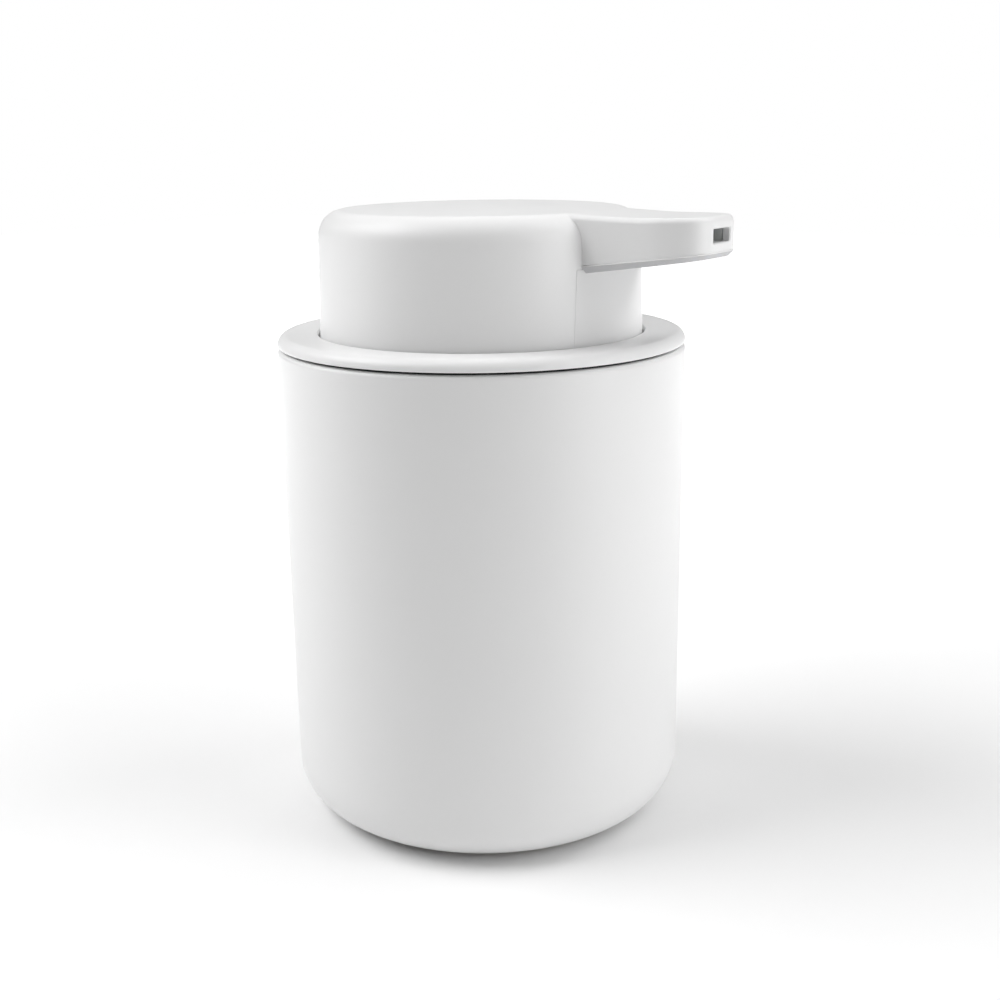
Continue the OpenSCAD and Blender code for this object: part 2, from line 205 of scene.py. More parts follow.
def finish_piece(bm, name, body, material, replaced=(), sharp=35.0):
    """Turns a bmesh in millimetres into a named, smooth-shaded piece that rides on a body."""
    bm.normal_update()
    for face in bm.faces:
        face.smooth = True
    for edge in bm.edges:
        edge.smooth = len(edge.link_faces) == 2 and edge.calc_face_angle(0) < math.radians(sharp)
    mesh = bpy.data.meshes.new(name)
    bmesh.ops.scale(bm, vec=(MM, MM, MM), verts=bm.verts)
    bm.to_mesh(mesh)
    bm.free()
    piece = bpy.data.objects.new(name, mesh)
    bpy.context.scene.collection.objects.link(piece)
    mesh.materials.append(material)
    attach(piece, body)
    if replaced:
        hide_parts(*replaced)
    return piece


def arc(cx, cz, r, start, end, steps=12):
    """Points of a circular arc in the profile plane; angles in degrees, both ends included."""
    points = []
    for i in range(steps + 1):
        a = math.radians(start + (end - start) * i / steps)
        points.append((cx + r * math.cos(a), cz + r * math.sin(a)))
    return points


def line(a, b, steps):
    """Points along a straight stretch, without its last point."""
    return [(a[0] + (b[0] - a[0]) * i / steps, a[1] + (b[1] - a[1]) * i / steps)
            for i in range(steps)]


def lathe(profile, segments=256):
    """Closed solid of revolution. The profile is a closed loop of (radius, height), or an open
    line that starts and ends on the axis."""
    bm = bmesh.new()
    rings = []
    for r, z in profile:
        if r < ON_AXIS:
            rings.append([bm.verts.new((0, 0, z))])
            continue
        ring = []
        for i in range(segments):
            a = 2 * math.pi * i / segments
            ring.append(bm.verts.new((r * math.cos(a), r * math.sin(a), z)))
        rings.append(ring)
    following = rings[1:]
    if len(rings[0]) > 1:
        following.append(rings[0])
    for a, b in zip(rings, following):
        for i in range(segments):
            j = (i + 1) % segments
            corners = [a[i % len(a)], a[j % len(a)], b[j % len(b)], b[i % len(b)]]
            bm.faces.new(list(dict.fromkeys(corners)))
    bmesh.ops.recalc_face_normals(bm, faces=bm.faces)
    return bm


def block(size, centre, turn, bevel):
    """Box with rounded edges, placed and then turned about the part's Z axis."""
    bm = bmesh.new()
    bmesh.ops.create_cube(bm, size=1.0)
    bmesh.ops.scale(bm, vec=size, verts=bm.verts)
    bmesh.ops.bevel(bm, geom=bm.edges[:], offset=bevel, segments=2, affect="EDGES", profile=0.5)
    bmesh.ops.translate(bm, vec=centre, verts=bm.verts)
    bmesh.ops.rotate(bm, cent=(0, 0, 0), matrix=Matrix.Rotation(turn, 3, "Z"), verts=bm.verts)
    return bm


def combine(target, tools, operation):
    """Boolean of a bmesh with a list of bmeshes; the operands are used up."""
    scene = bpy.context.scene

    def as_object(bm, label):
        mesh = bpy.data.meshes.new(label)
        bm.to_mesh(mesh)
        bm.free()
        obj = bpy.data.objects.new(label, mesh)
        scene.collection.objects.link(obj)
        return obj

    base = as_object(target, "boolean_target")
    helpers = [as_object(tool, "boolean_tool") for tool in tools]
    for helper in helpers:
        step = base.modifiers.new("cut", "BOOLEAN")
        step.operation = operation
        step.solver = "EXACT"
        step.object = helper
    graph = bpy.context.evaluated_depsgraph_get()
    result = bmesh.new()
    result.from_object(base, graph)
    for obj in [base] + helpers:
        mesh = obj.data
        bpy.data.objects.remove(obj)
        bpy.data.meshes.remove(mesh)
    bmesh.ops.remove_doubles(result, verts=result.verts, dist=WELD)
    bmesh.ops.dissolve_degenerate(result, dist=WELD, edges=result.edges)
    return result


# ---------------------------------------------------------------- shape rules

def cap_lean_radius(z):
    """Outer radius of the cap's drafted side at a height."""
    return CAP_R + (RING_Z1 - z) * math.tan(CAP_DRAFT)


# centre of the fillet round the cap's top, and the sphere of the crown that is tangent to it
CAP_EDGE_Z = CAP_TOP_Z - CAP_CROWN - CAP_EDGE_R
CAP_SIDE_TOP_Z = CAP_EDGE_Z + CAP_EDGE_R * math.sin(CAP_DRAFT)
CAP_EDGE_X = cap_lean_radius(CAP_SIDE_TOP_Z) - CAP_EDGE_R * math.cos(CAP_DRAFT)
CROWN_RISE = CAP_TOP_Z - CAP_EDGE_Z
CROWN_R = (CAP_EDGE_X ** 2 + CROWN_RISE ** 2 - CAP_EDGE_R ** 2) / (2 * CAP_CROWN)
CROWN_CZ = CAP_TOP_Z - CROWN_R
CROWN_TANGENT = math.degrees(math.atan2(CAP_EDGE_Z - CROWN_CZ, CAP_EDGE_X))
CROWN_TX = CAP_EDGE_X * CROWN_R / (CROWN_R - CAP_EDGE_R)


def crown_z(r):
    """Height of the cap's top at a distance from the axis."""
    return CROWN_CZ + math.sqrt(CROWN_R ** 2 - r ** 2)


def ease(z0, slope0, z1, slope1, span, t):
    """Cubic between two heights with given slopes; t runs from 0 to 1."""
    return ((2 * t ** 3 - 3 * t ** 2 + 1) * z0 + (t ** 3 - 2 * t ** 2 + t) * span * slope0
            + (3 * t ** 2 - 2 * t ** 3) * z1 + (t ** 3 - t ** 2) * span * slope1)


def spout_top(x, y):
    """Height of the spout's top: it runs out of the crown, dips a little and rises to the tip."""
    r = math.hypot(x, y)
    start_r = CROWN_TX + SPOUT_LEAD
    if r < start_r:
        return crown_z(r) - SPOUT_SINK
    z0 = crown_z(start_r) - SPOUT_SINK
    if r < SPOUT_DIP_X:
        slope = -start_r / CROWN_R
        span = SPOUT_DIP_X - start_r
        return ease(z0, slope, SPOUT_DIP_Z, 0.0, span, (r - start_r) / span)
    span = SPOUT_REACH - SPOUT_DIP_X
    t = min(1.0, (r - SPOUT_DIP_X) / span)
    return ease(SPOUT_DIP_Z, 0.0, SPOUT_TIP_Z, 0.0, span, t)


def joint_z(x, y):
    """Height of the sloping joint between the spout's shell and its underside."""
    return JOINT_Z + (x - CAP_R) * JOINT_SLOPE


def cover_z(x, y):
    """Height of the spout's flat underside, which slopes more than the joint."""
    return COVER_Z + (x - CAP_R) * COVER_SLOPE


def spout_side(x_root):
    """One side of the spout's outline from its root to the front face: (x, half-width, nx, ny).

    A nearly straight side bends in at SPOUT_MID_X and runs tangent into the tip's corner.
    """
    straight_steps = 24
    bend_steps = 8
    tip_steps = 20
    slope = (SPOUT_MID_W - SPOUT_ROOT_W) / (SPOUT_MID_X - CAP_R)
    tip_x = SPOUT_REACH - SPOUT_TIP_R
    gap_x = tip_x - SPOUT_MID_X
    gap_y = SPOUT_TIP_Y - SPOUT_MID_W
    reach = math.hypot(gap_x, gap_y)
    turn = math.atan2(gap_y, gap_x) + math.asin(SPOUT_TIP_R / reach)
    tangent_run = math.sqrt(reach ** 2 - SPOUT_TIP_R ** 2)
    lean_a = math.atan(-slope)
    lean_b = -turn
    bend_x = SPOUT_MID_X - SPOUT_BEND
    points = []
    for i in range(straight_steps):
        x = x_root + (bend_x - x_root) * i / straight_steps
        points.append((x, SPOUT_ROOT_W + (x - CAP_R) * slope, math.sin(lean_a), math.cos(lean_a)))
    a = Vector((bend_x, SPOUT_MID_W - SPOUT_BEND * slope))
    corner = Vector((SPOUT_MID_X, SPOUT_MID_W))
    b = corner + Vector((math.cos(turn), math.sin(turn))) * min(SPOUT_BEND, tangent_run * 0.8)
    for i in range(bend_steps):
        t = i / bend_steps
        p = a * (1 - t) ** 2 + corner * 2 * t * (1 - t) + b * t ** 2
        lean = lean_a + (lean_b - lean_a) * t
        points.append((p.x, p.y, math.sin(lean), math.cos(lean)))
    for i in range(tip_steps + 1):
        lean = lean_b + (math.pi / 2 - lean_b) * i / tip_steps
        nx = math.sin(lean)
        ny = math.cos(lean)
        points.append((tip_x + SPOUT_TIP_R * nx, SPOUT_TIP_Y + SPOUT_TIP_R * ny, nx, ny))
    return points


def spout_prism(x_root, levels, columns=24):
    """Closed body on the spout's outline. Levels go from the bottom up: (inset, height rule)."""
    bm = bmesh.new()
    side = spout_side(x_root)
    last = len(levels) - 1

    def place(x, y, level):
        height = levels[level][1]
        return min(x, SPOUT_REACH), y, height(x, y)

    def rim(k, level):
        """Outline point on the right-hand side, set in by the level's inset."""
        x, half_width, nx, ny = side[k]
        inset = levels[level][0]
        return x - nx * inset, ny * inset - half_width

    def across(y, column):
        """From y on the right-hand side to -y on the left, in equal steps."""
        return y * (1 - 2 * column / columns)

    grid = []
    for k in range(len(side)):
        loop = []
        for level in range(last + 1):
            x, y = rim(k, level)
            loop.append(bm.verts.new(place(x, y, level)))
        for c in range(1, columns):
            loop.append(bm.verts.new(place(x, across(y, c), last)))
        for level in range(last, -1, -1):
            x, y = rim(k, level)
            loop.append(bm.verts.new(place(x, -y, level)))
        for c in range(1, columns):
            loop.append(bm.verts.new(place(x, across(-y, c), 0)))
        grid.append(loop)
    count = len(grid[0])
    for a, b in zip(grid, grid[1:]):
        for i in range(count):
            j = (i + 1) % count
            bm.faces.new((a[i], b[i], b[j], a[j]))

    # front face, between the two corners
    front = []
    end = grid[-1]
    for level in range(last + 1):
        x, y = rim(len(side) - 1, level)
        row = [end[level]]
        for c in range(1, columns):
            if level == last:
                row.append(end[last + c])
            elif level == 0:
                row.append(end[count - c])
            else:
                row.append(bm.verts.new(place(x, across(y, c), level)))
        row.append(end[2 * last + columns - level])
        front.append(row)
    for a, b in zip(front, front[1:]):
        for i in range(columns):
            bm.faces.new((a[i], a[i + 1], b[i + 1], b[i]))
    bm.faces.new(grid[0])
    bmesh.ops.recalc_face_normals(bm, faces=bm.faces)
    return bm


def prism_x(points, x0, x1):
    """Closed prism along X through points in the (y, z) plane."""
    bm = bmesh.new()
    near = [bm.verts.new((x0, y, z)) for y, z in points]
    far = [bm.verts.new((x1, y, z)) for y, z in points]
    bm.faces.new(near)
    bm.faces.new(far)
    for i in range(len(points)):
        j = (i + 1) % len(points)
        bm.faces.new((near[i], near[j], far[j], far[i]))
    bmesh.ops.recalc_face_normals(bm, faces=bm.faces)
    return bm


# ---------------------------------------------------------------- materials

def new_material(name):
    material = bpy.data.materials.new(name)
    material.use_nodes = True
    nodes = material.node_tree.nodes
    return material, nodes, material.node_tree.links, nodes["Principled BSDF"]


CLOUD_SIZE = 25.0
SPECK_SIZE = 4.0


def noise(nodes, links, coords, scale, detail):
    texture = nodes.new("ShaderNodeTexNoise")
    texture.inputs["Scale"].default_value = scale
    texture.inputs["Detail"].default_value = detail
    texture.inputs["Roughness"].default_value = 0.5
    links.new(coords.outputs["Object"], texture.inputs["Vector"])
    return texture


def spread(nodes, links, source, low, high):
    """Maps a texture's 0.3 to 0.7 range to low to high."""
    node = nodes.new("ShaderNodeMapRange")
    node.inputs["From Min"].default_value = 0.3
    node.inputs["From Max"].default_value = 0.7
    node.inputs["To Min"].default_value = low
    node.inputs["To Max"].default_value = high
    links.new(source, node.inputs["Value"])
    return node


def surface(name, colour, tint, roughness, rough_spread, grain, grain_depth, wave, wave_depth,
            coat=0.0, metallic=0.0, specular=0.5, sss=0.0):
    """A mottled, finely grained surface. Grain and wave are feature sizes in millimetres, and
    their depths are in millimetres too."""
    material, nodes, links, shader = new_material(name)
    coords = nodes.new("ShaderNodeTexCoord")
    cloud = noise(nodes, links, coords, 1 / (CLOUD_SIZE * MM), 3.0)
    mix = nodes.new("ShaderNodeMix")
    mix.data_type = "RGBA"
    mix.inputs["A"].default_value = (*[c * (1 - tint) for c in colour], 1)
    mix.inputs["B"].default_value = (*colour, 1)
    links.new(cloud.outputs["Fac"], mix.inputs["Factor"])
    links.new(mix.outputs["Result"], shader.inputs["Base Color"])
    speck = noise(nodes, links, coords, 1 / (SPECK_SIZE * MM), 4.0)
    rough = spread(nodes, links, speck.outputs["Fac"], roughness - rough_spread,
                   roughness + rough_spread)
    links.new(rough.outputs["Result"], shader.inputs["Roughness"])
    fine = noise(nodes, links, coords, 1 / (grain * MM), 2.0)
    bump_fine = nodes.new("ShaderNodeBump")
    bump_fine.inputs["Distance"].default_value = grain_depth * MM
    bump_fine.inputs["Strength"].default_value = 1.0
    links.new(fine.outputs["Fac"], bump_fine.inputs["Height"])
    broad = noise(nodes, links, coords, 1 / (wave * MM), 1.0)
    bump_broad = nodes.new("ShaderNodeBump")
    bump_broad.inputs["Distance"].default_value = wave_depth * MM
    bump_broad.inputs["Strength"].default_value = 1.0
    links.new(broad.outputs["Fac"], bump_broad.inputs["Height"])
    links.new(bump_broad.outputs["Normal"], bump_fine.inputs["Normal"])
    links.new(bump_fine.outputs["Normal"], shader.inputs["Normal"])
    shader.inputs["Metallic"].default_value = metallic
    shader.inputs["Specular IOR Level"].default_value = specular
    shader.inputs["Coat Weight"].default_value = coat
    shader.inputs["Coat Roughness"].default_value = 0.35
    if sss:
        shader.inputs["Subsurface Weight"].default_value = sss
        shader.inputs["Subsurface Radius"].default_value = (1.0, 0.9, 0.8)
        shader.inputs["Subsurface Scale"].default_value = 1.5 * MM
    return material


def glaze_material():
    """Satin white glaze over the jar, with a bare, slightly warmer ring where it stands."""
    material = surface("satin_glaze", (0.83, 0.83, 0.83), 0.02, 0.42, 0.03, 0.9, 0.004, 9.0, 0.02)
    nodes = material.node_tree.nodes
    links = material.node_tree.links
    shader = nodes["Principled BSDF"]
    coords = nodes.new("ShaderNodeTexCoord")
    height = nodes.new("ShaderNodeSeparateXYZ")
    links.new(coords.outputs["Object"], height.inputs["Vector"])
    glaze_line = nodes.new("ShaderNodeMapRange")
    glaze_line.inputs["From Min"].default_value = BARE_Z * MM
    glaze_line.inputs["From Max"].default_value = GLAZED_Z * MM
    links.new(height.outputs["Z"], glaze_line.inputs["Value"])
    bare = nodes.new("ShaderNodeMix")
    bare.data_type = "RGBA"
    bare.inputs["A"].default_value = (0.72, 0.69, 0.64, 1)
    links.new(glaze_line.outputs["Result"], bare.inputs["Factor"])
    glazed = shader.inputs["Base Color"].links[0].from_socket
    links.new(glazed, bare.inputs["B"])
    links.new(bare.outputs["Result"], shader.inputs["Base Color"])
    return material


GLAZE = glaze_material()
MOULDED = surface("moulded_white", (0.84, 0.84, 0.84), 0.015, 0.40, 0.03, 0.28, 0.0035, 14.0,
                  0.012)
INSERT = surface("moulded_insert", (0.81, 0.81, 0.81), 0.015, 0.42, 0.03, 0.28, 0.0035, 14.0,
                 0.012)
# painted shade: a darker, rougher copy of the insert's white plastic for its downward-facing
# underside; the darker colour stands in for shade
INSERT_PAINTED_SHADE = surface("insert_underside_painted_shade", (0.56, 0.56, 0.57), 0.03, 0.55, 0.04, 0.28, 0.006,
                       14.0, 0.012)
NATURAL = surface("natural_pp", (0.72, 0.73, 0.72), 0.05, 0.36, 0.05, 0.35, 0.004, 8.0, 0.02,
                  sss=0.3)
MILKY = surface("milky_tube", (0.76, 0.78, 0.78), 0.05, 0.24, 0.05, 0.8, 0.004, 6.0, 0.03,
                coat=0.2, sss=0.3)
SEAL = surface("dark_seal", (0.016, 0.016, 0.017), 0.2, 0.62, 0.06, 0.25, 0.008, 5.0, 0.02,
               specular=0.35)
SOFT_SEAL = surface("soft_seal", (0.62, 0.62, 0.59), 0.06, 0.5, 0.05, 0.3, 0.005, 5.0, 0.02,
                    sss=0.3)
PAD = surface("foam_rubber", (0.50, 0.50, 0.49), 0.15, 0.85, 0.06, 0.45, 0.05, 3.0, 0.04,
              specular=0.2)
WIRE = surface("drawn_wire", (0.60, 0.59, 0.57), 0.12, 0.26, 0.07, 0.12, 0.004, 2.0, 0.004,
               metallic=1.0)
BALL = surface("polished_ball", (0.72, 0.72, 0.73), 0.04, 0.10, 0.03, 0.5, 0.0008, 3.0, 0.001,
               metallic=1.0)


# ---------------------------------------------------------------- jar, pad and collar

# In the profiles below, a hold is how far from a corner the first ring of a straight stretch
# lies; it keeps the shading of that stretch even.

def make_jar():
    centre_hold = 8.0
    floor_hold = 4.0
    mouth_hold = 2.0
    rim_hold = 0.5
    lip_hold = 0.1
    lean = math.atan(JAR_TAPER / JAR_HI.z)
    foot_cz = JAR_LO.z + FOOT_R
    foot_tz = foot_cz - FOOT_R * math.sin(lean)
    foot_tx = JAR_R - (JAR_HI.z - foot_tz) * math.tan(lean)
    foot_cx = foot_tx - FOOT_R * math.cos(lean)
    mouth = JAR_R - JAR_WALL
    recess = PAD_HI.x + RECESS_GAP
    floor_cx = mouth - JAR_FLOOR_R
    floor_cz = JAR_FLOOR_Z + JAR_FLOOR_R
    profile = [(0, PAD_HI.z)]
    profile += line((centre_hold, PAD_HI.z), (recess, PAD_HI.z), 4) + [(recess, PAD_HI.z)]
    profile += arc(recess + RECESS_R, JAR_LO.z + RECESS_R, RECESS_R, 180, 270, 4)
    profile += arc(foot_cx, foot_cz, FOOT_R, -90, -math.degrees(lean), 28)
    profile += line((foot_tx, foot_tz), (JAR_R, JAR_HI.z - RIM_R), 40)[1:]
    profile += arc(JAR_R - RIM_R, JAR_HI.z - RIM_R, RIM_R, 0, 90, 10)
    profile += line((JAR_R - RIM_R - rim_hold, JAR_HI.z),
                    (mouth + MOUTH_R + lip_hold, JAR_HI.z), 3)
    profile += arc(mouth + MOUTH_R, JAR_HI.z - MOUTH_R, MOUTH_R, 90, 180, 6)
    profile += line((mouth, JAR_HI.z - mouth_hold), (mouth, floor_cz), 24)
    profile += arc(floor_cx, floor_cz, JAR_FLOOR_R, 0, -90, 14)
    profile += line((floor_cx - floor_hold, JAR_FLOOR_Z), (floor_hold, JAR_FLOOR_Z), 6)
    profile += [(0, JAR_FLOOR_Z)]
    finish_piece(lathe(profile), "ceramic_jar", "jar", GLAZE, ["jar"])


def make_pad():
    centre_hold = 6.0
    edge_x = PAD_HI.x - PAD_EDGE_R
    profile = [(0, PAD_LO.z)] + line((centre_hold, PAD_LO.z), (edge_x, PAD_LO.z), 4)
    profile += arc(edge_x, PAD_LO.z + PAD_EDGE_R, PAD_EDGE_R, -90, 0, 4)
    profile += [(PAD_HI.x, PAD_HI.z), (0, PAD_HI.z)]
    finish_piece(lathe(profile, 128), "anti_slip_pad", "jar", PAD, ["base_pad"])


def collar_profile():
    ring_hold = 0.8
    lip_hold = 0.4
    floor_hold = 2.0
    wall_hold = 1.0
    lower_r = RING_LOWER_EDGE_R
    inner_x = WELL_R - WELL_INNER_CORNER_R
    inner_z = WELL_FLOOR_Z + WELL_INNER_CORNER_R
    outer_x = WELL_OUTER_R - WELL_CORNER_R
    outer_z = WELL_UNDER_Z + WELL_CORNER_R
    profile = arc(JAR_R - lower_r, RING_Z0 + lower_r, lower_r, -90, 0, 4)
    profile += arc(JAR_R - RING_EDGE_R, RING_Z1 - RING_EDGE_R, RING_EDGE_R, 0, 90, 16)
    profile += line((JAR_R - RING_EDGE_R - ring_hold, RING_Z1),
                    (WELL_R + WELL_LIP_R + lip_hold, RING_Z1), 5)
    profile += arc(WELL_R + WELL_LIP_R, RING_Z1 - WELL_LIP_R, WELL_LIP_R, 90, 180, 6)
    profile += line((WELL_R, RING_Z1 - floor_hold), (WELL_R, inner_z), 6)
    profile += arc(inner_x, inner_z, WELL_INNER_CORNER_R, 0, -90, 6)
    profile += line((inner_x - floor_hold, WELL_FLOOR_Z), (WELL_HOLE_R, WELL_FLOOR_Z), 6)
    profile += [(WELL_HOLE_R, WELL_FLOOR_Z), (WELL_HOLE_R, WELL_UNDER_Z)]
    profile += line((WELL_HOLE_R + floor_hold, WELL_UNDER_Z), (outer_x, WELL_UNDER_Z), 5)
    profile += arc(outer_x, outer_z, WELL_CORNER_R, -90, 0, 10)
    profile += line((WELL_OUTER_R, outer_z + wall_hold), (WELL_OUTER_R, RING_Z0), 5)
    profile += [(WELL_OUTER_R, RING_Z0)]
    return profile


def make_collar():
    height = WELL_UNDER_Z - COLLAR_LO.z + RIB_SINK
    centre = ((RIB_X0 + RIB_X1) / 2, 0, COLLAR_LO.z + height / 2)
    ribs = []
    for i in range(RIB_COUNT):
        turn = math.radians(360 / RIB_COUNT * (i + 0.5))
        ribs.append(block((RIB_X1 - RIB_X0, RIB_T, height), centre, turn, RIB_EDGE_R))
    collar = combine(lathe(collar_profile()), ribs, "UNION")
    finish_piece(collar, "ring_collar", "pump", MOULDED, ["collar"])


def make_gasket():
    inner = WELL_OUTER_R + GASKET_SEAT
    outer = inner + GASKET_WALL
    lip_r = GASKET_LIP_R
    lip_x = JAR_R - JAR_WALL - GASKET_LIP_GAP - lip_r
    profile = [(inner, GASKET_LO.z), (outer, GASKET_LO.z)]
    for height in GASKET_LIP_HEIGHTS:
        z = GASKET_LO.z + height
        profile += arc(lip_x, z + lip_r, lip_r, -60, 90, 5)
        profile += [(outer + GASKET_EDGE_R, z + 2 * lip_r),
                    (outer, z + 2 * lip_r + GASKET_EDGE_R)]
    profile += [(outer, JAR_HI.z - GASKET_CHAMFER), (outer + GASKET_CHAMFER, JAR_HI.z)]
    profile += arc(GASKET_HI.x - GASKET_EDGE_R, JAR_HI.z + GASKET_EDGE_R, GASKET_EDGE_R, -90, 0, 3)
    profile += [(GASKET_HI.x, RING_Z0), (inner, RING_Z0)]
    finish_piece(lathe(profile), "seam_gasket", "pump", SEAL, ["collar_gasket"])


# ---------------------------------------------------------------- cap and spout

def cap_profile():
    profile = [(0, CAP_TOP_Z)]
    top_steps = 14
    for i in range(1, top_steps):
        r = CROWN_TX * i / top_steps
        profile.append((r, crown_z(r)))
    profile += arc(CAP_EDGE_X, CAP_EDGE_Z, CAP_EDGE_R, CROWN_TANGENT, math.degrees(CAP_DRAFT), 22)
    foot_z = CAP_FOOT_Z + CAP_FOOT_R
    foot_x = cap_lean_radius(foot_z)
    profile += line((cap_lean_radius(CAP_SIDE_TOP_Z), CAP_SIDE_TOP_Z), (foot_x, foot_z), 18)[1:]
    profile += arc(foot_x - CAP_FOOT_R, foot_z, CAP_FOOT_R, 0, -90, 4)
    profile.append((0, CAP_FOOT_Z))
    return profile


def cap_hollow_profile():
    foot_hold = 1.0
    ceiling_hold = 6.0
    top_r = cap_lean_radius(CAP_SIDE_TOP_Z) - CAP_WALL
    foot_r = cap_lean_radius(CAP_FOOT_Z) - CAP_WALL
    low = CAP_FOOT_Z - CUT_SPARE
    corner_z = CAP_CEILING_Z - CAP_INNER_R
    profile = [(0, low), (foot_r, low), (foot_r, CAP_FOOT_Z)]
    profile += line((foot_r, CAP_FOOT_Z + foot_hold), (top_r, corner_z), 12)
    profile += arc(top_r - CAP_INNER_R, corner_z, CAP_INNER_R, 0, 90, 10)
    profile += [(top_r - CAP_INNER_R - ceiling_hold, CAP_CEILING_Z), (0, CAP_CEILING_Z)]
    return profile


def window_outline():
    """The window's cutter in the (y, z) plane, a little larger than the insert's panel."""
    foot_w = WINDOW_W + (WINDOW_Z - CAP_FOOT_Z) * WINDOW_FLARE + WINDOW_GAP
    top_w = WINDOW_W + WINDOW_GAP
    low = CAP_FOOT_Z - CUT_SPARE / 2
    top = WINDOW_Z + WINDOW_GAP
    return [(-foot_w, low), (foot_w, low), (top_w, top), (-top_w, top)]


def notch_outline():
    half = SPOUT_ROOT_W + NOTCH_GAP
    low = WINDOW_Z - CUT_SPARE
    return [(-half, low), (half, low), (half, NOTCH_TOP_Z), (-half, NOTCH_TOP_Z)]


def spout_levels():
    """Side of the spout from the joint up: a small lower edge, the wall and the top fillet."""
    levels = [(JOINT_EDGE, joint_z), (0.0, lambda x, y: joint_z(x, y) + JOINT_EDGE)]

    def wall(share):
        return lambda x, y: (joint_z(x, y) + JOINT_EDGE) * (1 - share) \
            + (spout_top(x, y) - SPOUT_EDGE_R) * share

    def fillet(angle):
        return lambda x, y: spout_top(x, y) - SPOUT_EDGE_R * (1 - math.sin(angle))

    levels += [(0.0, wall(share)) for share in (0.25, 0.5, 0.75)]
    steps = 10
    for i in range(steps + 1):
        angle = math.pi / 2 * i / steps
        levels.append((SPOUT_EDGE_R * (1 - math.cos(angle)), fillet(angle)))
    return levels


def slot_outline(grow):
    """Rounded rectangle of the nozzle mouth in the (y, z) plane, anticlockwise."""
    half_w = SLOT_W / 2 + grow
    half_h = SLOT_H / 2 + grow
    r = SLOT_CORNER_R
    points = []
    for sy, sz, start in ((1, 1, 0), (-1, 1, 90), (-1, -1, 180), (1, -1, 270)):
        points += arc(sy * (half_w - r), SLOT_Z + sz * (half_h - r), r, start, start + 90, 4)
    return points


def slot_cutter():
    """The mouth's bore, opening out a little just at the front face."""
    bm = bmesh.new()
    spare = CUT_SPARE / 2
    stations = [(SPOUT_REACH - SLOT_DEPTH, 0.0), (SPOUT_REACH - SLOT_FLARE, 0.0),
                (SPOUT_REACH + spare, SLOT_FLARE + spare)]
    rings = [[bm.verts.new((x, y, z)) for y, z in slot_outline(grow)] for x, grow in stations]
    bm.faces.new(rings[0])
    bm.faces.new(rings[-1])
    for a, b in zip(rings, rings[1:]):
        for i in range(len(a)):
            j = (i + 1) % len(a)
            bm.faces.new((a[i], a[j], b[j], b[i]))
    bmesh.ops.recalc_face_normals(bm, faces=bm.faces)
    return bm


def hollow_cutter():
    """The hollow of the spout: its outline set in by the wall, up to the cap's ceiling."""
    floor = (SPOUT_WALL, lambda x, y: HOLLOW_FLOOR_Z)
    ceiling = (SPOUT_WALL, lambda x, y: CAP_CEILING_Z)
    return spout_prism(HOLLOW_ROOT_X, [floor, ceiling], columns=4)


def make_press_cap():
    cap = lathe(cap_profile(), 320)
    cap = combine(cap, [spout_prism(SPOUT_ROOT_X, spout_levels())], "UNION")
    window = prism_x(window_outline(), WINDOW_ROOT_X, CAP_R + CUT_SPARE)
    notch = prism_x(notch_outline(), WINDOW_ROOT_X, NOTCH_X)
    tools = [lathe(cap_hollow_profile(), 160), hollow_cutter(), window, notch, slot_cutter()]
    cap = combine(cap, tools, "DIFFERENCE")
    finish_piece(cap, "press_cap_shell", "head", MOULDED, ["press_cap"],
                 sharp=24.0)


def spout_cover():
    """The spout's underside: a chamfered plate below the joint, cut round where it meets the cap."""
    def below(drop):
        return lambda x, y: joint_z(x, y) - drop

    levels = [(COVER_CHAMFER, cover_z), (-COVER_PROUD, below(COVER_LIP)),
              (-COVER_PROUD, below(COVER_EDGE)), (COVER_EDGE - COVER_PROUD, below(COVER_GAP))]
    low = 90.0
    high = 135.0
    core = lathe([(0, low), (COVER_CORE_R, low), (COVER_CORE_R, high), (0, high)], 320)
    return combine(spout_prism(COVER_ROOT_X, levels), [core], "DIFFERENCE")


def window_panel(columns=36, rows=16):
    """The part of the insert that fills the window: it continues the cap's drafted skirt."""
    panel = bmesh.new()
    grids = []
    for wall in (0, CAP_WALL):
        grid = []
        for i in range(rows + 1):
            z = CAP_FOOT_Z + (WINDOW_Z - CAP_FOOT_Z) * i / rows
            r = cap_lean_radius(z) - wall
            half = math.asin((WINDOW_W + (WINDOW_Z - z) * WINDOW_FLARE) / cap_lean_radius(z))
            row = []
            for c in range(columns + 1):
                a = half * (2 * c / columns - 1)
                row.append(panel.verts.new((r * math.cos(a), r * math.sin(a), z)))
            grid.append(row)
        grids.append(grid)
    out, inn = grids
    for i in range(rows):
        for c in range(columns):
            panel.faces.new((out[i][c], out[i][c + 1], out[i + 1][c + 1], out[i + 1][c]))
            panel.faces.new((inn[i][c + 1], inn[i][c], inn[i + 1][c], inn[i + 1][c + 1]))
        for c in (0, columns):
            panel.faces.new((inn[i][c], out[i][c], out[i + 1][c], inn[i + 1][c]))
    for c in range(columns):
        for i in (0, rows):
            panel.faces.new((out[i][c + 1], out[i][c], inn[i][c], inn[i][c + 1]))
    bmesh.ops.recalc_face_normals(panel, faces=panel.faces)
    return panel


def make_insert():
    insert = combine(spout_cover(), [window_panel()], "UNION")
    piece = finish_piece(insert, "spout_underside", "head", INSERT,
                         ["spout_insert"], sharp=24.0)
    # the chamfer and the flat below the spout get a darker, rougher copy of the insert's plastic;
    # the darker colour is painted shade where they face down
    piece.data.materials.append(INSERT_PAINTED_SHADE)
    for polygon in piece.data.polygons:
        if polygon.normal.z < SHADE_LEAN and polygon.center.z > SHADE_Z * MM:
            polygon.material_index = 1


# ---------------------------------------------------------------- spring

